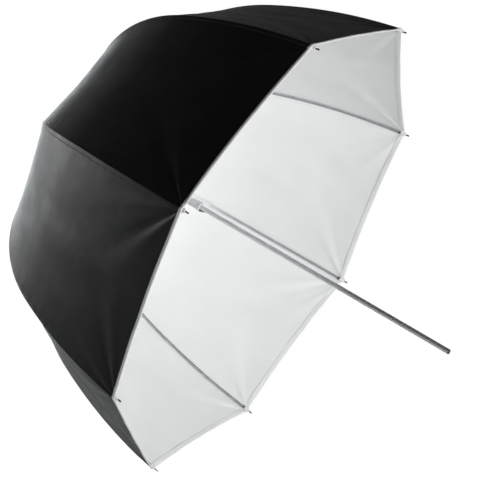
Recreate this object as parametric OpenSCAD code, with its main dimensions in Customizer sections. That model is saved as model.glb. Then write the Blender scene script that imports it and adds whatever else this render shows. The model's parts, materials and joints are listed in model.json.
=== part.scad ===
// Reflector umbrella for studio lights, drawn open: a steel shaft, eight channel ribs that fold
// on a crown and a runner, and a white canopy with a black back.
// +X runs along the shaft to its free end and +Z through a rib. The origin is on the shaft's axis,
// in the stretch that a light's umbrella clamp grips. Ribs are drawn in their own plane, as
// [distance from the shaft's axis, height above the plane of the rib ends].

/* [Canopy] */
// Distance from the shaft's axis to the end of each rib
rim_r = 400; // [390:5:415]
// Distance from the origin back to the plane of the rib ends
rim_back = 176; // [150:2:200]
// How far the hem curves up between two ribs
hem_rise = 5; // [3:1:16]
// Thickness of the cloth and its lining
cloth_t = 0.8; // [0.6:0.1:1]

/* [Ribs] */
// Angle between rib and shaft at the rib's end
end_angle = 7.3; // [6.5:0.1:8.5]
// Angle where the long outer arc meets the shoulder
shoulder_angle = 23.5; // [22.5:0.1:25]
// Angle at the rivet that carries the stretcher
rivet_angle = 47; // [45:0.5:49]
// Angle where the shoulder meets the flat arc near the crown
knee_angle = 76.3; // [75:0.1:77.5]
// Radius of the long outer arc
outer_arc_r = 816; // [800:2:830]
// Radius of the shoulder
shoulder_arc_r = 274; // [268:1:280]
// Radius of the flat arc near the crown
crown_arc_r = 714; // [700:2:730]
// Width of the rib's channel
rib_w = 4.4; // [4:0.1:5]
// Depth of the rib's channel
rib_h = 3; // [2.6:0.1:3.4]

/* [Stretchers] */
// Width of the stretcher's channel
stretcher_w = 3.4; // [3:0.1:4]
// Depth of the stretcher's channel
stretcher_h = 2.6; // [2.2:0.1:3]

/* [Shaft] */
// Radius of the shaft's tube
shaft_r = 4; // [3.8:0.1:4.1]
// Wall of the shaft's tube
shaft_wall = 0.8; // [0.6:0.1:1]
// Distance from the origin to the shaft's free end
shaft_reach = 144; // [120:2:200]
// Length of the plain stretch that a clamp can take, from the free end
grip_l = 430; // [380:5:450]

/* [Runner and crown] */
// Distance of both rings of pivots from the shaft's axis
pivot_r = 12; // [11.5:0.5:13]
// Radius of the crown's disc and of the runner's collar
collar_r = 15; // [14.5:0.5:17]
// Radius of the runner's sleeve
sleeve_r = 6.5; // [6:0.5:8]
// Length of the sleeve below the runner's pivots
sleeve_l = 72.6; // [60:0.2:80]

/* [Hidden] */
RIBS = 8;
half_gore = 180 / RIBS;
sheet_metal = 0.5;        // wall of every pressed channel
run_gap = 0.05;           // clearance of pins in their eyes
side_gap = 0.3;           // clearance between leaves side by side on a pin
rivet_in = 1.8;           // the rivet lies this far inside the rib's centre line

// Centres of the rib's three arcs, which meet at a common tangent, and the points between them
function toward(angle) = [cos(angle), sin(angle)];
outer_centre = [rim_r, 0] - outer_arc_r * toward(end_angle);
shoulder_centre = outer_centre + (outer_arc_r - shoulder_arc_r) * toward(shoulder_angle);
crown_centre = shoulder_centre + (shoulder_arc_r - crown_arc_r) * toward(knee_angle);
pivot_angle = acos((pivot_r - crown_centre[0]) / crown_arc_r);
rivet = shoulder_centre + (shoulder_arc_r - rivet_in) * toward(rivet_angle);
crown_pivot = crown_centre + crown_arc_r * toward(pivot_angle);

// The runner's pivot mirrors the crown's about the rivet, so the runner slides straight
stretcher_l = norm(crown_pivot - rivet);
runner_pivot = [pivot_r, 2 * rivet[1] - crown_pivot[1]];

// Pins, eyes and leaves
rivet_r = 0.8;
rivet_head_r = 1.6;
rivet_head_t = 0.4;
rivet_head_gap = 0.05;
ear_r = 2.6;
tongue_r = ear_r - 0.2;
tongue_t = 2.6;
fork_t = 0.6;
fork_l = 13;
fork_web = 2.5;
fork_in = rib_w / 2 + side_gap;
fork_out = fork_in + fork_t;
wire_r = 0.6;
eye_t = 1.2;
eye_r = 1.8;
eye_reach = 12;
eye_clear = 9;
ear_clear = 5;
ear_lap = 2;
tongue_clear = 4;
tongue_lap = 5;
band_step = 4;            // longest straight stretch in a curved rib's outline
leaf_trim = 0.5;          // a leaf is this much less deep than the channel it ends
tip_root = 10;
tip_l = 8;
tip_r = 1.1;
tip_ball_r = 1.5;
slot_w = 1.6;
slot_floor = 9.4;

// Heights along the shaft, and the shaft's fittings
crown_top = 1.5;
crown_bottom = 3.2;
hub_r = 8.5;
runner_top = 7.4;
collar_half = 2.6;
runner_bottom = runner_pivot[1] - sleeve_l;
catch_tip_h = runner_bottom - 0.6;
catch_len = 15.4;
catch_t = 1;
catch_out = 3.2;
bore_r = shaft_r - shaft_wall;
dowel_l = 14;
crimp_w = 2;
crimp_depth = 0.3;
crimp_h = grip_l - shaft_reach - rim_back + crimp_w / 2;
cap_r = 26;
cap_h = crown_pivot[1] + 3.8;
shaft_top_h = cap_h + 10;
plug_out = 2;

// Cloth: strips centred on the ribs, each in an inner and an outer length
cloth_out = rib_h / 2 + 1.2;
strip_gap = 0.3;
strip_start_r = 18;
outer_rows = 14;
inner_rows = 12;
ACROSS = [-1, -0.5, 0, 0.5, 1];

// ---- Placing -------------------------------------------------------------------------------

// From the plane of rib k, [out from the shaft, height, along the hinge], into the frame
module on_rib(k)
    rotate([-(k - 1) * 360 / RIBS, 0, 0])
    translate([-rim_back, 0, 0])
    rotate([180, 0, -90])
    children();

// Turned about the shaft, with Z towards the crown from a height above the rib ends
module turned(height)
    translate([-rim_back - height, 0, 0])
    rotate([0, -90, 0])
    children();

// At a point of the rib, with X towards the crown along the rib
module at_rib(point, angle)
    translate(point)
    rotate(90 + angle)
    children();

// ---- The rib's curve -----------------------------------------------------------------------

// Angle that a length takes up on an arc, and the length that an angle takes up
function arc_angle(length, radius) = length / radius * 180 / PI;
function arc_length(angle, radius) = angle * radius * PI / 180;

// Lengths along the rib from its end
outer_arc_l = arc_length(shoulder_angle - end_angle, outer_arc_r);
shoulder_arc_l = arc_length(knee_angle - shoulder_angle, shoulder_arc_r);
rivet_s = outer_arc_l + arc_length(rivet_angle - shoulder_angle, shoulder_arc_r);
pivot_s = outer_arc_l + shoulder_arc_l + arc_length(pivot_angle - knee_angle, crown_arc_r);

// The rib's angle to the shaft, and the point at a distance out from its centre line
function rib_angle(s) =
    s < outer_arc_l ? end_angle + arc_angle(s, outer_arc_r)
    : s < outer_arc_l + shoulder_arc_l
        ? shoulder_angle + arc_angle(s - outer_arc_l, shoulder_arc_r)
    : knee_angle + arc_angle(s - outer_arc_l - shoulder_arc_l, crown_arc_r);
function rib_point(s, out) =
    s < outer_arc_l ? outer_centre + (outer_arc_r + out) * toward(rib_angle(s))
    : s < outer_arc_l + shoulder_arc_l
        ? shoulder_centre + (shoulder_arc_r + out) * toward(rib_angle(s))
    : crown_centre + (crown_arc_r + out) * toward(rib_angle(s));

// Outline of the rib between two lengths and two distances out from its centre line
function band(from, to, low, high) =
    let (n = ceil((to - from) / band_step))
    concat([for (i = [0:n]) rib_point(from + (to - from) * i / n, high)],
           [for (i = [n:-1:0]) rib_point(from + (to - from) * i / n, low)]);

// ---- Metal ---------------------------------------------------------------------------------

// Section of a pressed channel, closed on its outer side
module channel(w, h)
    difference() {
        square([h, w], center = true);
        translate([-sheet_metal, 0]) square([h, w - 2 * sheet_metal], center = true);
    }

// A flat leaf with a round end at the origin, reaching along X; rise makes it deeper on -Y
module leaf(end_r, reach, h, t, rise = 0)
    linear_extrude(t, center = true) {
        circle(end_r, $fn = 48);
        translate([min(0, reach), -h / 2 - rise]) square([abs(reach), h + rise]);
    }

// The rib's pressed channel between two lengths from its end, open towards the shaft
module rib_channel(from, to) difference() {
    linear_extrude(rib_w, center = true) polygon(band(from, to, -rib_h / 2, rib_h / 2));
    linear_extrude(rib_w - 2 * sheet_metal, center = true)
        polygon(band(from - 1, to + 1, -rib_h, rib_h / 2 - sheet_metal));
}

module pin(r, length)
    cylinder(r = r, h = length, center = true, $fn = 48);

// Disc with a slot for each rib and a groove around it for the wire that the ribs turn on
module slotted_disc(up, down) {
    difference() {
        translate([0, 0, -down]) cylinder(r = collar_r, h = up + down, $fn = 96);
        for (k = [1:RIBS])
            rotate(k * 360 / RIBS)
            translate([slot_floor, -slot_w / 2, -down - 1])
            cube([collar_r, slot_w, up + down + 2]);
        rotate_extrude($fn = 96)
        translate([pivot_r - wire_r, -wire_r - run_gap])
        square([collar_r, 2 * wire_r + 2 * run_gap]);
    }
}

module wire_ring(height)
    turned(height)
    rotate_extrude($fn = 96)
    translate([pivot_r, 0])
    circle(wire_r, $fn = 24);

module shaft() color("silver") difference() {
    turned(-rim_back - shaft_reach)
        cylinder(r = shaft_r, h = shaft_top_h + rim_back + shaft_reach, $fn = 96);
    turned(-rim_back - shaft_reach - 1)
        cylinder(r = bore_r, h = shaft_top_h + rim_back + shaft_reach - 4, $fn = 96);
    // rolled crimp that holds the catch's dowel
    turned(crimp_h)
    rotate_extrude($fn = 96)
    translate([shaft_r - crimp_depth, -crimp_w / 2])
    square([1, crimp_w]);
    // slot that the catch comes out of
    translate([-rim_back - catch_tip_h - 1, -catch_t / 2 - 0.2, -shaft_r - 1])
    cube([catch_len + 3, catch_t + 0.4, shaft_r]);
}

module end_plug() color("black") turned(-rim_back - shaft_reach)
    rotate_extrude($fn = 96)
    polygon([[0, -plug_out], [shaft_r - 1, -plug_out], [shaft_r - 0.2, -plug_out + 0.8],
             [shaft_r - 0.2, 0], [bore_r, 0], [bore_r, 11], [bore_r - 1, 12], [0, 12]]);

// Flat spring: a barb outside the shaft and a leaf inside it, back to the dowel
module catch_spring() {
    steep = -rim_back - catch_tip_h;
    barb = steep + catch_len;
    root = -rim_back - crimp_h + dowel_l / 2 - 2;
    color("dimgray")
    translate([0, catch_t / 2, 0])
    rotate([90, 0, 0])
    linear_extrude(catch_t)
    polygon([
        [steep, -1.6], [steep, -shaft_r - catch_out], [steep + 2, -shaft_r - catch_out],
        [barb, -bore_r + 0.4], [root, -bore_r + 0.4], [root, -1.6]]);
}

module catch_dowel() color("burlywood") difference() {
    turned(crimp_h - dowel_l / 2) cylinder(r = bore_r, h = dowel_l, $fn = 96);
    translate([-rim_back - crimp_h - dowel_l, -catch_t / 2 - run_gap, -shaft_r])
        cube([2 * dowel_l, catch_t + 2 * run_gap, shaft_r + catch_out - 1.4]);
}

// Top notch: the ribs hinge in its slots
module crown() color("black") turned(crown_pivot[1]) difference() {
    union() {
        slotted_disc(crown_top, crown_bottom);
        translate([0, 0, -crown_bottom - 12]) cylinder(r = hub_r, h = 12, $fn = 96);
    }
    translate([0, 0, -30]) cylinder(r = shaft_r, h = 60, $fn = 96);
}

module crown_wire() color("silver") wire_ring(crown_pivot[1]);

module runner() color("gainsboro") turned(runner_pivot[1]) difference() {
    union() {
        slotted_disc(collar_half, collar_half);
        translate([0, 0, collar_half]) cylinder(r = hub_r, h = runner_top - collar_half, $fn = 96);
        translate([0, 0, -sleeve_l]) cylinder(r = sleeve_r, h = sleeve_l, $fn = 96);
        // grip rings for the fingers
        for (z = [-sleeve_l, -20])
            translate([0, 0, z]) cylinder(r = sleeve_r + 1, h = 3, $fn = 96);
        translate([0, 0, -collar_half - 6])
            cylinder(r1 = sleeve_r, r2 = hub_r, h = 6, $fn = 96);
    }
    translate([0, 0, -sleeve_l - 1])
        cylinder(r = shaft_r + run_gap, h = sleeve_l + runner_top + 2, $fn = 96);
}

module runner_wire() color("silver") wire_ring(runner_pivot[1]);

// Round patch of cloth over the crown, and the ferrule that presses it down
module canopy_cap() color("black") turned(cap_h) difference() {
    cylinder(r = cap_r, h = cloth_t, $fn = 96);
    translate([0, 0, -1]) cylinder(r = shaft_r, h = cloth_t + 2, $fn = 96);
}

module top_ferrule() color("dimgray") turned(cap_h + cloth_t) difference() {
    rotate_extrude($fn = 96)
    polygon([[0, 0], [10, 0], [10, 1.4], [6.4, 2.6], [5.6, 12], [4.2, 14], [0, 14]]);
    translate([0, 0, -1]) cylinder(r = shaft_r, h = shaft_top_h - cap_h - cloth_t + 1, $fn = 96);
}

// Crown half of a rib: channel, eye on the crown's wire, and ears with the stretcher's rivet
module rib_inner(k) color("gray") on_rib(k) difference() {
    union() {
        rib_channel(rivet_s + ear_clear, pivot_s - eye_clear);
        at_rib(crown_pivot, pivot_angle) leaf(eye_r, -eye_reach, rib_h - leaf_trim, eye_t);
        for (side = [-1, 1])
            translate([0, 0, side * (rib_w - sheet_metal) / 2])
            at_rib(rivet, rivet_angle)
            leaf(ear_r, ear_clear + ear_lap, rib_h - leaf_trim, sheet_metal, rivet_in);
        translate(rivet) pin(rivet_r, 2 * (fork_out + rivet_head_gap + rivet_head_t));
        for (side = [-1, 1])
            translate(rivet)
            translate([0, 0, side * (fork_out + rivet_head_gap + rivet_head_t / 2)])
            pin(rivet_head_r, rivet_head_t);
    }
    translate(crown_pivot) pin(wire_r + run_gap, 2 * eye_t);
}

// Rim half of a rib, which the open canopy bends
module rib_outer(k) color("gray") on_rib(k) difference() {
    union() {
        rib_channel(0, rivet_s - tongue_clear);
        at_rib(rivet, rivet_angle)
            leaf(tongue_r, -tongue_clear - tongue_lap, rib_h - leaf_trim, tongue_t, rivet_in);
    }
    translate(rivet) pin(rivet_r + run_gap, 2 * tongue_t);
}

// Pin pressed into the rib's open end, which carries a corner of the canopy
module rib_tip(k) color("dimgray") on_rib(k) translate([rim_r, 0]) rotate(end_angle - 90) {
    translate([-tip_root, -rib_h / 2, -rib_w / 2 + sheet_metal])
        cube([tip_root, rib_h - sheet_metal, rib_w - 2 * sheet_metal]);
    rotate([0, 90, 0]) cylinder(r = tip_r, h = tip_l, $fn = 32);
    translate([tip_l, 0, 0]) sphere(r = tip_ball_r, $fn = 32);
}

// Strut from the runner to the rib: a channel with a fork on the rivet and an eye on the wire
module stretcher(k) {
    run = runner_pivot - rivet;
    color("gray") on_rib(k) translate(rivet) rotate(atan2(run[1], run[0])) difference() {
        union() {
            for (side = [-1, 1])
                translate([0, 0, side * (fork_in + fork_out) / 2])
                leaf(tongue_r, fork_l, stretcher_h - leaf_trim, fork_t);
            translate([fork_l - fork_web, -stretcher_h / 2, -fork_out])
                cube([fork_web, stretcher_h, 2 * fork_out]);
            translate([fork_l - 0.5, 0, 0])
            rotate([90, 0, 90])
            linear_extrude(stretcher_l - fork_l - eye_clear)
            channel(stretcher_w, stretcher_h);
            translate([stretcher_l, 0, 0])
                leaf(eye_r, -eye_reach, stretcher_h - leaf_trim, eye_t);
        }
        pin(rivet_r + run_gap, 4 * fork_out);
        translate([stretcher_l, 0, 0]) pin(wire_r + run_gap, 2 * eye_t);
    }
}

// ---- Cloth ---------------------------------------------------------------------------------

strip_end_angle = acos((strip_start_r - crown_centre[0]) / crown_arc_r);
strip_end_s = pivot_s - arc_length(pivot_angle - strip_end_angle, crown_arc_r);

// Cloth lies flat from a rib to the middle of the gore, w from 0 at the rib to -1 or 1 there
function cloth_point(s, w, out) =
    let (p = rib_point(s, out),
         half_w = p[0] * sin(half_gore) * cos(half_gore),
         across = w * (half_w - strip_gap) / half_w)
    [p[0] * (1 - abs(across) * pow(sin(half_gore), 2)), p[1], across * half_w];

function strip_points(from, to, rise, rows) = [
    for (out = [cloth_out, cloth_out + cloth_t], i = [0:rows], w = ACROSS)
    let (edge = from + rise * (2 * abs(w) - w * w))
    cloth_point(edge + (to - edge) * i / rows, w, out)];

// Two triangles of a four-sided patch, given clockwise from outside
function patch(a, b, c, d) = [[a, b, c], [a, c, d]];

function strip_faces(rows) =
    let (cols = len(ACROSS), layer = (rows + 1) * cols)
    [for (i = [0:rows - 1], j = [0:cols - 2])
        let (a = i * cols + j, b = a + 1, c = b + cols, d = a + cols)
        each concat(patch(a, d, c, b), patch(layer + a, layer + b, layer + c, layer + d)),
     for (j = [0:cols - 2], end = [0, rows * cols])
        let (a = end + j, b = a + 1)
        each end == 0 ? patch(a, b, layer + b, layer + a) : patch(b, a, layer + a, layer + b),
     for (i = [0:rows - 1], side = [0, cols - 1])
        let (a = i * cols + side, b = a + cols)
        each side == 0 ? patch(b, a, layer + a, layer + b) : patch(a, b, layer + b, layer + a)];

module strip(k, from, to, rise, rows)
    on_rib(k) polyhedron(strip_points(from, to, rise, rows), strip_faces(rows));

module canopy_outer(k) color("black") strip(k, 0, rivet_s - strip_gap, hem_rise, outer_rows);

module canopy_inner(k) color("black") strip(k, rivet_s + strip_gap, strip_end_s, 0, inner_rows);

// ---- Assembly ------------------------------------------------------------------------------

shaft();
end_plug();
catch_spring();
catch_dowel();
crown();
crown_wire();
runner();
runner_wire();
canopy_cap();
top_ferrule();
for (k = [1:RIBS]) {
    rib_inner(k);
    rib_outer(k);
    rib_tip(k);
    stretcher(k);
    canopy_inner(k);
    canopy_outer(k);
}
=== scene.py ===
"""Reflector umbrella for studio lights: cloth, materials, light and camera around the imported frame.

Metres, in the row's frame: +X runs along the shaft to its free end and +Z through rib 3. Rib k's plane
is turned by (k - 1) * 45 degrees from -Y towards +Z. In that plane a point is [distance from the
shaft, height above the plane of the rib ends, sideways], and height grows towards the crown.
"""
import json
import math

import bpy
import numpy as np
from mathutils import Matrix, Vector


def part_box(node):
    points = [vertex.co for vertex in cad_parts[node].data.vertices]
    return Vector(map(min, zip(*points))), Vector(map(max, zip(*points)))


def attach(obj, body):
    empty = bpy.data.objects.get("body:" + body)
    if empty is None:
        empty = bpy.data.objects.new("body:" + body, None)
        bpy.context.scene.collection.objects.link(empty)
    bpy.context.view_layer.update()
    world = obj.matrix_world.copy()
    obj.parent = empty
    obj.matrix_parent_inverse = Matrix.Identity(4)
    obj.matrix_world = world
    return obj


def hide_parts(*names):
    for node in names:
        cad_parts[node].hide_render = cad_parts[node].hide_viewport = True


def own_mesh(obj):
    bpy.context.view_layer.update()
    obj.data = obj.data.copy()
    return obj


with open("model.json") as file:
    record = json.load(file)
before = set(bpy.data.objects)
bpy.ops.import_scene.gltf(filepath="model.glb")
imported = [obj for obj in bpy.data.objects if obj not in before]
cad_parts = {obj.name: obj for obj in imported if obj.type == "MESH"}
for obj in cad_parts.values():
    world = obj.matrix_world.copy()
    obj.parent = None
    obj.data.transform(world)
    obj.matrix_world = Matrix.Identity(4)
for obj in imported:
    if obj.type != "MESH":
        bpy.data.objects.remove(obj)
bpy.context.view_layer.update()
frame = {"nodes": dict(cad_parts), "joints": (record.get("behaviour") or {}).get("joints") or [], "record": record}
MM = 0.001

# ---- Driving dimensions ------------------------------------------------------------------------

RIBS = 8
HALF_GORE = math.pi / RIBS

# The rib's three arcs, from its end to the crown
RIM_R = 0.400
END_ANGLE, SHOULDER_ANGLE, KNEE_ANGLE = np.radians((7.3, 23.5, 76.3))
OUTER_ARC_R, SHOULDER_ARC_R, CROWN_ARC_R = 0.816, 0.274, 0.714

# Cloth
CLOTH_T = 0.8 * MM
CLOTH_OUT = 3.1 * MM            # the cloth's middle lies this far outside the rib's centre line
CLOTH_START_R = 18 * MM         # where the cloth starts, beside the crown
FOLD_ROUND = 1.2 * MM           # how softly the cloth bends over a rib
HEM_RISE = 5 * MM               # how far the hem curves up between two ribs
HEM_REACH = 120 * MM            # the hem's curve has died out this far from it
HEM_OUTSIDE = 5.5 * MM          # width of the white binding outside
HEM_INSIDE = 9 * MM             # and inside
HEM_T = 0.45 * MM
HEM_ROLL = 1.1 * MM             # height of the rolled binding outside
HEM_ROLL_SHARE = 0.45           # half the roll's width, as a share of the binding's
HEM_FALL_OUTSIDE = (-0.35 * MM, 0.05 * MM)  # where the binding falls to the cloth, from its width
HEM_FALL_INSIDE = (-0.3 * MM, 0.1 * MM)
HEM_EDGE = 0.6 * MM             # the edge of the hem is rounded off over this width,
HEM_EDGE_T = 0.35               # and has this share of the cloth's thickness left
SAG = 2.6 * MM                  # how far a panel is drawn in between its ribs
SEAM_T = 0.75 * MM              # height of the seam's ridge over a rib
SEAM_W = 2.0 * MM
SEAM_LEAN = (0.85, 1.25)        # shares of that width on its plain side and on its flap's side
SEAM_FLAP_W = 7 * MM            # the layers of a seam are folded to one side of it
SEAM_FLAP_T = 0.45 * MM
SEAM_FLAP_FALL = 0.5 * MM
SEAM_ENDS = (-10 * MM, 30 * MM)     # the ridge dies out over this stretch from the cloth's start
CROWN_CLOTH_R = 170 * MM        # inside this the cloth is a length of its own

# ---- From the frame ----------------------------------------------------------------------------


def joint(name):
    return next(j for j in frame["joints"] if j["name"] == name)


def toward(angle):
    return np.array([np.cos(angle), np.sin(angle)])


OUTER_C = np.array([RIM_R, 0.0]) - OUTER_ARC_R * toward(END_ANGLE)
SHOULDER_C = OUTER_C + (OUTER_ARC_R - SHOULDER_ARC_R) * toward(SHOULDER_ANGLE)
CROWN_C = SHOULDER_C + (SHOULDER_ARC_R - CROWN_ARC_R) * toward(KNEE_ANGLE)
OUTER_L = OUTER_ARC_R * (SHOULDER_ANGLE - END_ANGLE)
SHOULDER_L = SHOULDER_ARC_R * (KNEE_ANGLE - SHOULDER_ANGLE)

# Rib 1's two pivots give the height of the crown and the place of the rivet
crown_x, crown_y, _ = joint("canopy_fold")["pos_m"]
rivet_x, rivet_y, _ = joint("rib_1_flex")["pos_m"]
PIVOT_R = -crown_y
PIVOT_H = CROWN_C[1] + math.sqrt(CROWN_ARC_R**2 - (PIVOT_R - CROWN_C[0]) ** 2)
RIM_X = crown_x + PIVOT_H
RIVET = np.array([-rivet_y, RIM_X - rivet_x])
RIVET_ANGLE = math.atan2(*(RIVET - SHOULDER_C)[::-1])
RIVET_S = OUTER_L + SHOULDER_ARC_R * (RIVET_ANGLE - SHOULDER_ANGLE)
START_ANGLE = math.acos((CLOTH_START_R - CROWN_C[0]) / CROWN_ARC_R)
START_S = OUTER_L + SHOULDER_L + CROWN_ARC_R * (START_ANGLE - KNEE_ANGLE)


def rib_curve(s, out=0.0):
    """Distance from the shaft and height of a rib, at length s from its end and moved outward."""
    on_outer, on_shoulder = s < OUTER_L, s < OUTER_L + SHOULDER_L
    angle = np.where(
        on_outer, END_ANGLE + s / OUTER_ARC_R,
        np.where(on_shoulder, SHOULDER_ANGLE + (s - OUTER_L) / SHOULDER_ARC_R,
                 KNEE_ANGLE + (s - OUTER_L - SHOULDER_L) / CROWN_ARC_R))
    radius = np.where(on_outer, OUTER_ARC_R, np.where(on_shoulder, SHOULDER_ARC_R, CROWN_ARC_R)) + out
    centre = [np.where(on_outer, OUTER_C[i], np.where(on_shoulder, SHOULDER_C[i], CROWN_C[i]))
              for i in (0, 1)]
    return centre[0] + radius * np.cos(angle), centre[1] + radius * np.sin(angle)


def rib_turn(k):
    return 2 * HALF_GORE * (k - 1)


def to_row(k, distance, height, sideways):
    """From rib k's plane into the row's frame."""
    a = rib_turn(k)
    return np.stack([RIM_X - height + 0 * distance,
                     -distance * np.cos(a) + sideways * np.sin(a),
                     distance * np.sin(a) + sideways * np.cos(a)], axis=-1)


# ---- Mesh helpers ------------------------------------------------------------------------------


def smooth_step(x, low, high):
    t = np.clip((x - low) / (high - low), 0, 1)
    return t * t * (3 - 2 * t)


def make_mesh(name, points, faces, materials, face_material, uv=None):
    mesh = bpy.data.meshes.new(name)
    mesh.from_pydata(points.tolist(), [], faces)
    for m in materials:
        mesh.materials.append(m)
    mesh.polygons.foreach_set("material_index", face_material)
    mesh.polygons.foreach_set("use_smooth", [True] * len(faces))
    if uv is not None:
        layer = mesh.uv_layers.new(name="cloth")
        loops = np.empty(len(mesh.loops), int)
        mesh.loops.foreach_get("vertex_index", loops)
        layer.data.foreach_set("uv", uv[loops].ravel())
    mesh.update()
    obj = bpy.data.objects.new(name, mesh)
    bpy.context.scene.collection.objects.link(obj)
    return obj


def loft(rings, closed_ends=True):
    """Points and faces of a skin over rings of points, each with the same number of points."""
    rings = np.asarray(rings)
    n_rings, n = rings.shape[:2]
    faces = [(i * n + j, i * n + (j + 1) % n, (i + 1) * n + (j + 1) % n, (i + 1) * n + j)
             for i in range(n_rings - 1) for j in range(n)]
    if closed_ends:
        faces += [tuple(range(n))[::-1], tuple((n_rings - 1) * n + j for j in range(n))]
    return rings.reshape(-1, 3), faces


# ---- Materials ---------------------------------------------------------------------------------


NOISE_RANGE = (0.3, 0.7)        # most of a noise's values lie in it
STITCH_PITCH = 3.2 * MM
STITCH_SHARE = 0.72             # of the pitch is thread
THREAD_HALF_W = 0.55 * MM


class Look:
    """A Principled material and short calls for the nodes that feed it."""

    def __init__(self, name, colour, roughness, **sockets):
        self.material = bpy.data.materials.new(name)
        self.material.use_nodes = True
        self.tree = self.material.node_tree
        self.shader = self.tree.nodes["Principled BSDF"]
        self.shader.inputs["Base Color"].default_value = (*colour, 1)
        self.shader.inputs["Roughness"].default_value = roughness
        for socket, value in sockets.items():
            self.shader.inputs[socket.replace("_", " ")].default_value = value
        self.normal = None

    def node(self, kind, inputs=(), **settings):
        made = self.tree.nodes.new("ShaderNode" + kind)
        for key, value in settings.items():
            setattr(made, key, value)
        for key, value in dict(inputs).items():
            if isinstance(value, bpy.types.NodeSocket):
                self.tree.links.new(value, made.inputs[key])
            else:
                made.inputs[key].default_value = value
        return made.outputs[0]

    def math(self, operation, a, b=0.0):
        return self.node("Math", {0: a, 1: b}, operation=operation)

    def coords(self, stretch=(1, 1, 1)):
        """Object coordinates in metres, scaled on each axis."""
        place = self.tree.nodes.new("ShaderNodeTexCoord").outputs["Object"]
        return self.node("Mapping", {"Vector": place, "Scale": stretch})

    def cloth_uv(self):
        """Metres sideways from the rib, and metres from the hem."""
        split = self.tree.nodes.new("ShaderNodeSeparateXYZ")
        place = self.tree.nodes.new("ShaderNodeUVMap")
        place.uv_map = "cloth"
        self.tree.links.new(place.outputs["UV"], split.inputs[0])
        return split.outputs["X"], split.outputs["Y"]

    def noise(self, place, scale, detail=3.0, roughness=0.5):
        return self.node("TexNoise", {"Vector": place, "Scale": scale, "Detail": detail,
                                      "Roughness": roughness})

    def between(self, factor, low, high):
        return self.node("MapRange", {"Value": factor, "From Min": NOISE_RANGE[0],
                                      "From Max": NOISE_RANGE[1], "To Min": low, "To Max": high})

    def colours(self, factor, first, second):
        ramp = self.tree.nodes.new("ShaderNodeValToRGB")
        for stop, place, colour in zip(ramp.color_ramp.elements, NOISE_RANGE, (first, second)):
            stop.position, stop.color = place, (*colour, 1)
        self.tree.links.new(factor, ramp.inputs[0])
        return ramp.outputs[0]

    def mix(self, factor, first, second):
        made = self.tree.nodes.new("ShaderNodeMix")
        made.data_type = "RGBA"
        for socket, value in ((made.inputs[0], factor), (made.inputs[6], first), (made.inputs[7], second)):
            if isinstance(value, bpy.types.NodeSocket):
                self.tree.links.new(value, socket)
            else:
                socket.default_value = (*value, 1)
        return made.outputs[2]

    def feed(self, socket, value):
        self.tree.links.new(value, self.shader.inputs[socket])

    def bump(self, height, distance, strength=1.0):
        inputs = {"Height": height, "Distance": distance, "Strength": strength}
        if self.normal is not None:
            inputs["Normal"] = self.normal
        self.normal = self.node("Bump", inputs)
        self.feed("Normal", self.normal)

    def stitches(self, across, along, centre):
        """1 on a row of stitches at one distance, 0 elsewhere."""
        off = self.math("ABSOLUTE", self.math("SUBTRACT", across, centre))
        near = self.math("LESS_THAN", off, THREAD_HALF_W)
        on = self.math("LESS_THAN", self.math("FRACT", self.math("DIVIDE", along, STITCH_PITCH)),
                       STITCH_SHARE)
        return self.math("MULTIPLY", near, on)

    def weave(self, across, along, pitch):
        """Height of a plain weave: threads over and under each other."""
        turn = 2 * math.pi / pitch
        return self.math("MULTIPLY", self.math("SINE", self.math("MULTIPLY", across, turn)),
                         self.math("SINE", self.math("MULTIPLY", along, turn)))


THREAD_PITCH = 0.7 * MM         # of the cloth's weave
WEAVE_RISE = 0.05 * MM
TAPE_PITCH = 1.6 * MM           # of the binding's ribs, which slant across it
TAPE_SLANT = 0.6
SEAM_STITCHES = -5.4 * MM       # beside the rib, through the seam's flap
INSIDE_STITCHES = 7.4 * MM      # from the hem, through the binding
OUTSIDE_STITCHES = 4.4 * MM


def black_satin():
    look = Look("black_satin", (0.006, 0.006, 0.006), 0.42, Specular_IOR_Level=0.3,
                Specular_Tint=(0.93, 0.95, 1.0, 1.0), Sheen_Weight=0.06, Sheen_Roughness=0.3)
    across, along = look.cloth_uv()
    cloud = look.noise(look.coords(), 14, 4)
    look.feed("Base Color", look.colours(cloud, (0.0055, 0.006, 0.0052), (0.008, 0.0085, 0.0076)))
    look.feed("Roughness", look.between(look.noise(look.coords(), 45), 0.38, 0.46))
    look.bump(look.noise(look.coords(), 28, 2), 0.5 * MM)
    look.bump(look.weave(across, along, THREAD_PITCH), WEAVE_RISE, 0.5)
    seam = look.stitches(across, along, SEAM_STITCHES)
    look.bump(seam, 0.25 * MM)
    return look.material


def white_lining():
    look = Look("white_lining", (0.8, 0.81, 0.82), 0.55, Sheen_Weight=0.1, Specular_IOR_Level=0.3)
    across, along = look.cloth_uv()
    cloud = look.noise(look.coords(), 9, 3)
    cloth = look.colours(cloud, (0.805, 0.817, 0.814), (0.85, 0.86, 0.858))
    thread = look.stitches(along, across, INSIDE_STITCHES)
    look.feed("Base Color", look.mix(thread, cloth, (0.76, 0.77, 0.78)))
    look.feed("Roughness", look.between(look.noise(look.coords(), 60), 0.48, 0.62))
    look.bump(look.noise(look.coords(), 30, 2), 0.35 * MM)
    look.bump(look.weave(across, along, THREAD_PITCH), WEAVE_RISE, 0.5)
    look.bump(thread, 0.3 * MM)
    return look.material


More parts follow.
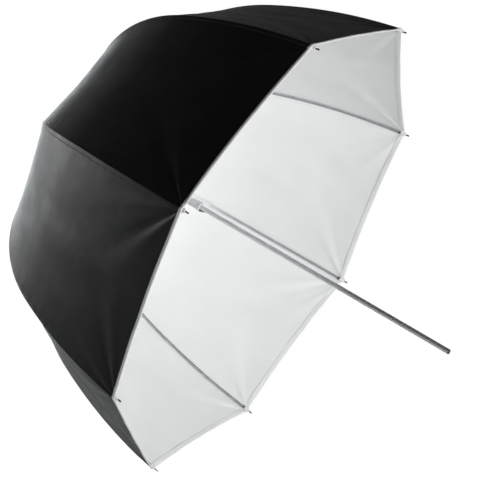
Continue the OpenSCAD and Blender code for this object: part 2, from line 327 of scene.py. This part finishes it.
def white_tape():
    """Ribbed tape that binds the hem."""
    look = Look("white_tape", (0.84, 0.84, 0.86), 0.6, Sheen_Weight=0.1, Specular_IOR_Level=0.3)
    across, along = look.cloth_uv()
    slant = look.math("ADD", across, look.math("MULTIPLY", along, TAPE_SLANT))
    ribs = look.math("SINE", look.math("MULTIPLY", slant, 2 * math.pi / TAPE_PITCH))
    thread = look.stitches(along, across, OUTSIDE_STITCHES)
    worn = look.noise(look.coords(), 60, 4)
    tape = look.colours(worn, (0.82, 0.82, 0.84), (0.9, 0.9, 0.91))
    look.feed("Base Color", look.mix(thread, tape, (0.5, 0.5, 0.53)))
    look.feed("Roughness", look.between(worn, 0.5, 0.7))
    look.bump(ribs, 0.15 * MM)
    look.bump(thread, 0.25 * MM)
    return look.material


def metal(name, dark, light, roughness, streak=(1, 1, 1), scratch=0.04, bare=1.0):
    """Metal with a cloudy tone, fine scratches and a roughness that varies.

    bare is how far it is mirror metal: a dull coat of zinc is about half.
    """
    look = Look(name, light, sum(roughness) / 2, Metallic=bare)
    cloud = look.noise(look.coords(streak), 120, 5, 0.6)
    grain = look.noise(look.coords(tuple(v * 4 for v in streak)), 400, 3, 0.7)
    look.feed("Base Color", look.colours(cloud, dark, light))
    look.feed("Roughness", look.between(grain, *roughness))
    look.bump(grain, scratch * MM)
    return look.material


def plastic(name, dark, light, roughness, grain=0.04):
    """Moulded plastic: fine texture, and patches that handling has polished."""
    look = Look(name, light, sum(roughness) / 2, Specular_IOR_Level=0.45)
    look.feed("Base Color", look.colours(look.noise(look.coords(), 90, 5), dark, light))
    look.feed("Roughness", look.between(look.noise(look.coords(), 160, 4), *roughness))
    look.bump(look.noise(look.coords(), 1600, 3), grain * MM)
    return look.material


def wood():
    """Turned dowel with its grain along the shaft."""
    look = Look("dowel_grain", (0.5, 0.35, 0.2), 0.6)
    grain = look.noise(look.coords((0.08, 1, 1)), 900, 6, 0.7)
    look.feed("Base Color", look.colours(grain, (0.30, 0.19, 0.10), (0.62, 0.45, 0.27)))
    look.feed("Roughness", look.between(grain, 0.5, 0.75))
    look.bump(grain, 0.08 * MM)
    return look.material


ALONG_SHAFT = (0.04, 1, 1)
SATIN, LINING, TAPE = black_satin(), white_lining(), white_tape()
HARD = {
    "rib_steel": metal("rib_steel_look", (0.46, 0.47, 0.49), (0.64, 0.65, 0.67), (0.38, 0.52),
                       scratch=0.008, bare=0.5),
    "polished_steel": metal("shaft_steel_look", (0.66, 0.67, 0.69), (0.82, 0.83, 0.85), (0.2, 0.32),
                            ALONG_SHAFT, 0.002, bare=0.85),
    "spring_steel": metal("spring_look", (0.05, 0.05, 0.055), (0.12, 0.12, 0.13), (0.3, 0.5)),
    "dark_metal": metal("dark_metal_look", (0.03, 0.03, 0.035), (0.09, 0.09, 0.1), (0.3, 0.45)),
    "black_plastic": plastic("black_plastic_look", (0.012, 0.012, 0.013), (0.03, 0.03, 0.032), (0.35, 0.5)),
    "runner_plastic": plastic("runner_look", (0.60, 0.61, 0.63), (0.72, 0.73, 0.75), (0.3, 0.45), 0.02),
    "dowel_wood": wood(),
}


def dress_cad_nodes():
    for part in frame["record"]["subparts"]:
        node = frame["nodes"][part["node"]]
        look = HARD.get(part["material_slot"])
        if look is None:
            continue
        if not node.material_slots:
            node.data.materials.append(look)
        for held in node.material_slots:
            held.material = look


# ---- Canopy ------------------------------------------------------------------------------------

# Distances from the hem at which the cloth has a row of points: close together at the hem, and
# then evenly to the rivet and on to the crown
HEM_ROWS = [v * MM for v in (
    0, 0.3, 0.8, 1.6, 2.5, 3.4, 4.1, 4.6, 5.1, 5.5, 6.2, 7.6, 8.7, 9.1, 10, 12, 14.5)]
ROW_STEP = 4 * MM
# Points beside a rib, which carry the seam's ridge
SEAM_COLUMNS = [v * MM for v in (0, 0.7, 1.4, 2.1, 2.9, 4.2, 5.6, 6.4, 6.9, 7.4, 8.6)]
PANEL_COLUMNS = 34              # and from there to the middle of the panel
SEAM_FULL_HALF_W = 16 * MM      # in a narrower panel the columns beside the rib draw together


def steps(start, end, step):
    return list(np.linspace(start, end, max(2, round((end - start) / step)) + 1)[1:])


OUTER_ROWS = HEM_ROWS + steps(HEM_ROWS[-1], RIVET_S, ROW_STEP)
INNER_ROWS = steps(RIVET_S, START_S, ROW_STEP)
ROWS = np.array(OUTER_ROWS + INNER_ROWS)
RIVET_ROW = len(OUTER_ROWS) - 1
HALF_COLUMNS = len(SEAM_COLUMNS) - 1 + PANEL_COLUMNS


def canopy_surface():
    """The whole canopy as one sheet: its middle surface, normals, and its cloth coordinates.

    Rows run from the hem to the crown. Columns run once round, 2 * HALF_COLUMNS to a panel, and
    column 0 lies on rib 1.
    """
    beside_seam = np.array(SEAM_COLUMNS + [0] * PANEL_COLUMNS)
    inward = np.arange(1, PANEL_COLUMNS + 1) / PANEL_COLUMNS
    depth = np.repeat(ROWS[:, None], HALF_COLUMNS + 1, axis=1)
    # w is each point's share of the way from the rib to the middle of the panel
    half_w = rib_curve(depth)[0] * math.sin(HALF_GORE)
    narrow = np.minimum(1, half_w / SEAM_FULL_HALF_W)
    seam = beside_seam[None, :] * narrow
    seam_edge = SEAM_COLUMNS[-1] * narrow[:, :1]
    seam[:, len(SEAM_COLUMNS):] = seam_edge + (half_w[:, :1] - seam_edge) * inward[None, :]
    w = seam / half_w
    edge = HEM_RISE * (2 * w - w * w)
    s = depth + edge * (1 - smooth_step(depth, 0, HEM_REACH))
    distance, height = rib_curve(s, CLOTH_OUT)
    sideways = w * distance * math.sin(HALF_GORE) * math.cos(HALF_GORE)
    distance = distance - math.tan(HALF_GORE) * np.hypot(sideways, FOLD_ROUND)

    points, u, across = [], [], []
    for rib in range(1, RIBS + 1):
        right = to_row(rib, distance, height, sideways)
        left = to_row(rib + 1, distance, height, -sideways)[:, ::-1]
        points.append(np.concatenate([right[:, :-1], left[:, :-1]], axis=1))
        u.append(np.concatenate([w[:, :-1] / 2, 1 - w[:, ::-1][:, :-1] / 2], axis=1))
        across.append(np.concatenate([seam[:, :-1], -seam[:, ::-1][:, :-1]], axis=1))
    points, u = np.concatenate(points, axis=1), np.concatenate(u, axis=1)
    across = np.concatenate(across, axis=1)
    panel = np.repeat(np.arange(RIBS), 2 * HALF_COLUMNS)[None, :] + 0 * u.astype(int)
    depth = np.repeat(ROWS[:, None], points.shape[1], axis=1)
    points = points + normals(points) * relief(depth, u, across, panel)[..., None]
    return points, normals(points), across, depth


def normals(points):
    """Unit normals, outward, of a sheet that closes on itself sideways."""
    along = np.gradient(points, axis=0)
    around = np.roll(points, -1, axis=1) - np.roll(points, 1, axis=1)
    n = np.cross(around, along)
    return n / np.linalg.norm(n, axis=-1, keepdims=True)


# The folds' sizes are drawn from these ranges, in metres apart from the counts and the angles
STREAK_COUNT = (7, 10)          # waves that a whole turn about a panel's corner would hold
STREAK_RISE = (0.6, 1.1)        # in millimetres, like the next two heights
SLACK_RISE = (0.15, 0.4)
PUCKER_RISE = 0.12
STREAK_REACH = (0.045, 0.075)
SLACK_WAVES, SLACK_WAVE, SLACK_TILT = 4, (0.05, 0.11), (-0.5, 0.5)
PUCKER_WAVE = (0.016, 0.022)
PUCKER_OUT = 6 * MM             # the puckers are highest this far beside the seam
WHOLE_TURN = (0, 2 * math.pi)
# Stretches over which the sag and the folds grow, away from the hem and away from the crown
SAG_FROM_HEM, SAG_FROM_CROWN = (0.0, 0.16), (0.0, 0.25)
SLACK_FROM_CROWN = (0.02, 0.2)
PUCKER_FROM_HEM, PUCKER_FROM_CROWN = (0.01, 0.05), (0.03, 0.1)


def relief(depth, u, across, panel):
    """How far the cloth stands out from straight lines between its ribs."""
    draws = np.random.default_rng(7)
    half = np.abs(across)
    sag_window = smooth_step(depth, *SAG_FROM_HEM) * smooth_step(START_S - depth, *SAG_FROM_CROWN)
    rise = -SAG * np.sin(math.pi * u) * sag_window
    rise = add_corner_streaks(rise, draws, depth, half, u, panel)
    rise = add_slack_folds(rise, draws, depth, half, u, panel)
    return add_seam_puckers(rise, draws, depth, half, panel)


def add_corner_streaks(rise, draws, depth, half, u, panel):
    """Folds that fan out from each rib end into both panels beside it."""
    reach = np.hypot(half, depth)
    turn = np.arctan2(half, depth + 1e-6)
    for here in (u < 0.5, u >= 0.5):
        for p in range(RIBS):
            count, phase = draws.uniform(*STREAK_COUNT), draws.uniform(*WHOLE_TURN)
            strength, fade = draws.uniform(*STREAK_RISE) * MM, draws.uniform(*STREAK_REACH)
            # a second, finer wave keeps the fan from looking regular
            streak = np.sin(count * turn + phase) + 0.45 * np.sin(1.9 * count * turn + 2.3 * phase)
            size = (reach / fade) ** 0.8 * np.exp(1 - (reach / fade)) * np.sin(2 * turn) ** 0.7
            rise = rise + np.where(here & (panel == p), strength * streak * size, 0)
    return rise


def add_slack_folds(rise, draws, depth, half, u, panel):
    """Long, low folds across the middle of each panel."""
    from_middle = (u - 0.5) * 2 * half.max(axis=1, keepdims=True)
    for p in range(RIBS):
        slack = np.zeros_like(rise)
        for _ in range(SLACK_WAVES):
            wave, tilt = draws.uniform(*SLACK_WAVE), draws.uniform(*SLACK_TILT)
            phase, strength = draws.uniform(*WHOLE_TURN), draws.uniform(*SLACK_RISE) * MM
            run = np.cos(tilt) * from_middle + np.sin(tilt) * depth
            slack += strength * np.sin(2 * math.pi * run / wave + phase)
        window = np.sin(math.pi * u) ** 2 * smooth_step(START_S - depth, *SLACK_FROM_CROWN)
        rise = rise + np.where(panel == p, slack * window, 0)
    return rise


def add_seam_puckers(rise, draws, depth, half, panel):
    """Short ripples along both sides of each seam."""
    for p in range(RIBS):
        wave, phase = draws.uniform(*PUCKER_WAVE), draws.uniform(*WHOLE_TURN)
        pucker = np.sin(2 * math.pi * depth / wave + phase + 2 * np.sin(depth * 31 + p))
        beside = (half / PUCKER_OUT) * np.exp(1 - half / PUCKER_OUT)
        fading = (smooth_step(depth, *PUCKER_FROM_HEM)
                  * smooth_step(START_S - depth, *PUCKER_FROM_CROWN))
        rise = rise + np.where(panel == p, PUCKER_RISE * MM * pucker * beside * fading, 0)
    return rise


def canopy_skins():
    """Outside and inside of the cloth, with the seams' ridges and the hem's binding."""
    middle, normal, across, depth = canopy_surface()
    row = depth + 1e-9
    rounded = HEM_EDGE_T + (1 - HEM_EDGE_T) * smooth_step(row, 0, HEM_EDGE)
    roll_r = HEM_ROLL_SHARE * HEM_OUTSIDE
    roll = np.clip(1 - ((row - roll_r) / roll_r) ** 2, 0, 1) ** 0.5
    flat = HEM_T * (1 - smooth_step(row, *[HEM_OUTSIDE + fall for fall in HEM_FALL_OUTSIDE]))
    binding_out = np.maximum(HEM_ROLL * roll, flat)
    binding_in = HEM_T * (1 - smooth_step(row, *[HEM_INSIDE + fall for fall in HEM_FALL_INSIDE]))
    lean = np.where(across > 0, *SEAM_LEAN) * SEAM_W
    past_flap = smooth_step(-across, SEAM_FLAP_W - SEAM_FLAP_FALL, SEAM_FLAP_W)
    flap = SEAM_FLAP_T * (across < 0) * (1 - past_flap)
    crest = SEAM_T * np.exp(-((across / lean) ** 4))
    ridge = np.maximum(crest, flap) * smooth_step(START_S - depth, *SEAM_ENDS)
    outside = middle + normal * ((CLOTH_T / 2) * rounded + binding_out + ridge)[..., None]
    inside = middle - normal * ((CLOTH_T / 2) * rounded + binding_in * rounded)[..., None]
    facing = [normals(outside), -normals(inside)]
    for shading in facing:
        off_edge = outside[0] - outside[1]
        shading[0] += off_edge / np.linalg.norm(off_edge, axis=-1, keepdims=True)
    return outside, inside, across, depth, facing


CLOTH_LOOKS = (SATIN, LINING, TAPE)
IS_SATIN, IS_LINING, IS_TAPE = range(len(CLOTH_LOOKS))


def strip_grid(rows, k):
    """Where rib k's strip lies in the whole sheet: these rows, and the columns of its two half panels."""
    middle = 2 * HALF_COLUMNS * (k - 1)
    round_all = 2 * HALF_COLUMNS * RIBS
    return np.ix_(rows, np.arange(middle - HALF_COLUMNS, middle + HALF_COLUMNS + 1) % round_all)


def canopy_strip(name, k, rows, skins):
    """One closed piece of the canopy: the cloth from mid panel to mid panel over rib k."""
    outside, inside, across, depth, facing = skins
    grid = strip_grid(rows, k)
    n_rows, n = across[grid].shape
    points = np.concatenate([outside[grid].reshape(-1, 3), inside[grid].reshape(-1, 3)])
    # mid panel belongs to two strips, and lies on the other side of the rib in each
    side = across[grid].copy()
    side[:, 0], side[:, -1] = -np.abs(side[:, 0]), np.abs(side[:, -1])
    flat = np.stack([side, depth[grid]], axis=-1).reshape(-1, 2)
    layer = n_rows * n
    faces, looks = [], []

    def add(face, look):
        faces.append(face)
        looks.append(look)

    row_depth = ROWS[rows]
    for i in range(n_rows - 1):
        centre = (row_depth[i] + row_depth[i + 1]) / 2
        out_look = IS_TAPE if centre < HEM_OUTSIDE else IS_SATIN
        for j in range(n - 1):
            a, b = i * n + j, i * n + j + 1
            c, d = b + n, a + n
            add((a, b, c, d), out_look)
            add((layer + a, layer + d, layer + c, layer + b), IS_LINING)
        for j, turn in ((0, 1), (n - 1, -1)):
            a, d = i * n + j, (i + 1) * n + j
            add((a, d, layer + d, layer + a)[::turn], out_look)
    for i, turn, look in ((0, -1, IS_TAPE), (n_rows - 1, 1, IS_SATIN)):
        for j in range(n - 1):
            a, b = i * n + j, i * n + j + 1
            add((a, b, layer + b, layer + a)[::turn], look)
    obj = make_mesh(name, points, faces, CLOTH_LOOKS, looks, np.concatenate([flat, flat]))
    shading = np.concatenate([side_facing[grid].reshape(-1, 3) for side_facing in facing])
    shading /= np.linalg.norm(shading, axis=1, keepdims=True)
    obj.data.normals_split_custom_set_from_vertices(shading.tolist())
    return obj


def make_canopy():
    skins = canopy_skins()
    crown_row = int(np.argmax(rib_curve(ROWS)[0] < CROWN_CLOTH_R))
    parts = {"outer": (np.arange(0, RIVET_ROW + 1), "rib_end", "outer"),
             "inner": (np.arange(RIVET_ROW, crown_row + 1), "rib", "inner"),
             "crown": (np.arange(crown_row, len(ROWS)), "rib", "inner")}
    for k in range(1, RIBS + 1):
        for part, (rows, body, half) in parts.items():
            piece = canopy_strip(f"canopy_{part}_cloth_{k}", k, rows, skins)
            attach(piece, f"{body}_{k}")
            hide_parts(f"canopy_{half}_{k}")
            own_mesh(piece)


# ---- Cap over the crown ------------------------------------------------------------------------

CAP_ROUND = 96
CAP_FROM_HEM = 10 * MM          # its edge, in cloth coordinates


def make_cap():
    """Round patch of cloth, pressed down by the ferrule and lying on the canopy at its edge."""
    cap_x, _, cap_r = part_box("canopy_cap")[1]
    shaft_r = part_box("shaft")[1][2]
    turn = np.arange(CAP_ROUND) * 2 * math.pi / CAP_ROUND
    ripple = np.cos(RIBS * turn)

    def ring(r, drop, wave):
        """Ring of the skin at radius r. The drop, and the wave that the ribs give it, are in millimetres."""
        x = cap_x + drop * MM - wave * MM * ripple
        return np.stack([x + 0 * turn, -r * np.cos(turn), r * np.sin(turn)], axis=-1)

    top = [(shaft_r + 0.1 * MM, -0.8, 0), (8 * MM, -0.8, 0), (10.5 * MM, -0.8, 0), (12 * MM, -0.85, 0),
           (15 * MM, -0.9, 0.02), (18 * MM, -0.8, 0.05), (21 * MM, -0.65, 0.1),
           (cap_r - 3.2 * MM, -0.5, 0.14), (cap_r - 2.8 * MM, -0.75, 0.14),
           (cap_r - 1 * MM, -0.7, 0.16), (cap_r - 0.2 * MM, -0.5, 0.16)]
    under = [(cap_r - 0.2 * MM, -0.1, 0.16), (cap_r - 1 * MM, 0.0, 0.16), (21 * MM, 0.0, 0.1),
             (15 * MM, -0.1, 0.02), (10.5 * MM, 0, 0), (shaft_r + 0.1 * MM, 0, 0)]
    rings = [ring(*v) for v in top + under]
    rings.append(rings[0])
    points, faces = loft(rings, closed_ends=False)
    last = (len(rings) - 1) * CAP_ROUND     # the last ring is the first one again
    faces = [tuple(i - last if i >= last else i for i in f)[::-1] for f in faces]
    radius = np.hypot(points[:last, 1], points[:last, 2])
    spin = np.arctan2(points[:last, 2], points[:last, 1])
    uv = np.stack([spin * cap_r, cap_r - radius + CAP_FROM_HEM], axis=-1)
    cap = make_mesh("crown_cap_cloth", points[:last], faces, (SATIN,), [0] * len(faces), uv)
    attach(cap, "shaft")
    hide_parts("canopy_cap")


# ---- Corner tabs -------------------------------------------------------------------------------

TAB_ROUND = 20
TAB_BACK, TAB_FRONT = -7 * MM, 3.4 * MM     # from the rib's end
TAB_HALF_W, TAB_HALF_T = 4.3 * MM, 2.4 * MM
TAB_LIFT = 0.35 * MM
TAB_SQUARE = 0.8                # below 1 its section is squarer than an ellipse
TAB_FROM_HEM = 2 * MM           # in cloth coordinates, which keeps the hem's stitches off it
# Its shares of the length, the width and the thickness
TAB_SHAPE = ((0, 0.55, 0.6), (0.04, 0.9, 0.95), (0.12, 1.0, 1.0), (0.45, 1.0, 1.0),
             (0.7, 0.86, 1.0), (0.9, 0.74, 0.95), (0.97, 0.68, 0.85), (1, 0.5, 0.6))


def make_corner_tab(k):
    """Folded loop of tape that holds the canopy's corner on the pin in the rib's end."""
    turn = np.arange(TAB_ROUND) * 2 * math.pi / TAB_ROUND
    rings = []
    for share, wide, thick in TAB_SHAPE:
        reach = TAB_BACK + (TAB_FRONT - TAB_BACK) * share
        side = TAB_HALF_W * wide * np.sign(np.cos(turn)) * np.abs(np.cos(turn)) ** TAB_SQUARE
        up = TAB_HALF_T * thick * np.sign(np.sin(turn)) * np.abs(np.sin(turn)) ** TAB_SQUARE + TAB_LIFT
        distance, height = rib_curve(-reach + 0 * turn, up)
        rings.append(to_row(k, distance, height, side))
    points, faces = loft(rings)
    uv = np.stack([points[:, 1] + points[:, 2], TAB_FROM_HEM + 0 * points[:, 0]], axis=-1)
    tab = make_mesh(f"corner_tab_{k}", points, faces, (TAPE,), [0] * len(faces), uv)
    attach(tab, f"rib_end_{k}")


# ---- Stage, light and camera -------------------------------------------------------------------

MIDDLE = Vector((-0.211, -0.014, -0.019))      # the camera looks at this point of the umbrella
CAMERA_AWAY = 2.24
CAMERA_AZIMUTH, CAMERA_ELEVATION, CAMERA_ROLL = np.radians((20.546, 2.556, 29.487))
CAMERA_LENS = 101.19


def toward_camera():
    a, e = CAMERA_AZIMUTH, CAMERA_ELEVATION
    return Vector((math.sin(a) * math.cos(e), -math.cos(a) * math.cos(e), math.sin(e)))


def make_camera():
    data = bpy.data.cameras.new("camera")
    data.lens = CAMERA_LENS
    camera = bpy.data.objects.new("camera", data)
    bpy.context.scene.collection.objects.link(camera)
    camera.location = MIDDLE + toward_camera() * CAMERA_AWAY
    turn = (-toward_camera()).to_track_quat("-Z", "Y").to_matrix().to_4x4()
    roll = Matrix.Rotation(CAMERA_ROLL, 4, "Z")
    camera.rotation_mode = "QUATERNION"
    camera.rotation_quaternion = (turn @ roll).to_quaternion()
    bpy.context.scene.camera = camera


WHITE, COOL = (1, 1, 1), (0.9, 0.96, 1.0)
LIGHTS_AIM = Vector((-0.3, 0, 0))
# Place, side of the square in metres, watts and colour
LIGHTS = {
    "key": ((2.1, -0.9, 0.65), 1.6, 72, WHITE),         # in front, into the white inside
    "low": ((-2.5, -0.2, -0.9), 1.1, 41, WHITE),        # behind, for the sheen near the crown
    "edge": ((-1.5, 2.0, -0.6), 2.2, 64, COOL),         # behind and at the side, for the lower panels
}


def area_light(name, place, size, power, colour):
    data = bpy.data.lights.new(name, "AREA")
    data.shape = "SQUARE"
    data.size = size
    data.energy = power
    data.color = colour
    light = bpy.data.objects.new(name, data)
    bpy.context.scene.collection.objects.link(light)
    light.location = place
    light.rotation_mode = "QUATERNION"
    light.rotation_quaternion = (LIGHTS_AIM - Vector(place)).to_track_quat("-Z", "Y")
    light.visible_camera = False


FLOOR_R, FLOOR_Z, FLOOR_SIDES = 3.0, -0.9, 96
FLOOR_GLOW = (0.12, 1.0)        # as it lights the object, and as the camera sees it


def make_stage():
    """Round white floor, which lights the object less than a white floor would."""
    turn = np.arange(FLOOR_SIDES) * 2 * math.pi / FLOOR_SIDES
    corners = np.stack([MIDDLE.x + FLOOR_R * np.cos(turn), FLOOR_R * np.sin(turn), 0 * turn + FLOOR_Z],
                       axis=-1)
    look = Look("floor_look", (0.4, 0.4, 0.4), 0.8, Emission_Color=(1, 1, 1, 1))
    camera_ray = look.tree.nodes.new("ShaderNodeLightPath").outputs["Is Camera Ray"]
    glow = look.node("MapRange", {"Value": camera_ray, "To Min": FLOOR_GLOW[0], "To Max": FLOOR_GLOW[1]})
    look.feed("Emission Strength", glow)
    floor = make_mesh("floor", corners, [tuple(range(FLOOR_SIDES))], (look.material,), [0])


BRIGHT_WALL = (-0.89, 0.45, -0.06)      # the way to the middle of the bright patch on the walls
WALL_PATCH = 0.75               # the cosine of the angle at which it has faded out
WALL_LIGHT = (0.01, 0.47)       # the walls, and the patch


def make_light():
    """Walls of the studio, and its lights. A world's strength of 1 is white."""
    scene = bpy.context.scene
    scene.view_settings.view_transform = "Standard"
    world = bpy.data.worlds.new("studio")
    world.use_nodes = True
    scene.world = world
    tree = world.node_tree
    back = tree.nodes["Background"]
    back.inputs["Color"].default_value = (1, 1, 1, 1)
    # the walls look white to the camera, and light the object as dark walls with one soft patch
    place = tree.nodes.new("ShaderNodeTexCoord")
    facing = tree.nodes.new("ShaderNodeVectorMath")
    facing.operation = "DOT_PRODUCT"
    facing.inputs[1].default_value = BRIGHT_WALL
    walls = tree.nodes.new("ShaderNodeMapRange")
    walls.interpolation_type = "SMOOTHSTEP"
    walls.inputs["From Min"].default_value = WALL_PATCH
    walls.inputs["To Min"].default_value, walls.inputs["To Max"].default_value = WALL_LIGHT
    path = tree.nodes.new("ShaderNodeLightPath")
    level = tree.nodes.new("ShaderNodeMapRange")
    tree.links.new(place.outputs["Generated"], facing.inputs[0])
    tree.links.new(facing.outputs["Value"], walls.inputs["Value"])
    tree.links.new(walls.outputs[0], level.inputs["To Min"])
    tree.links.new(path.outputs["Is Camera Ray"], level.inputs["Value"])
    tree.links.new(level.outputs[0], back.inputs["Strength"])
    for name, settings in LIGHTS.items():
        area_light(name, *settings)


# ---- Make --------------------------------------------------------------------------------------

make_camera()
make_stage()
make_light()
dress_cad_nodes()
make_canopy()
make_cap()
for rib in range(1, RIBS + 1):
    make_corner_tab(rib)
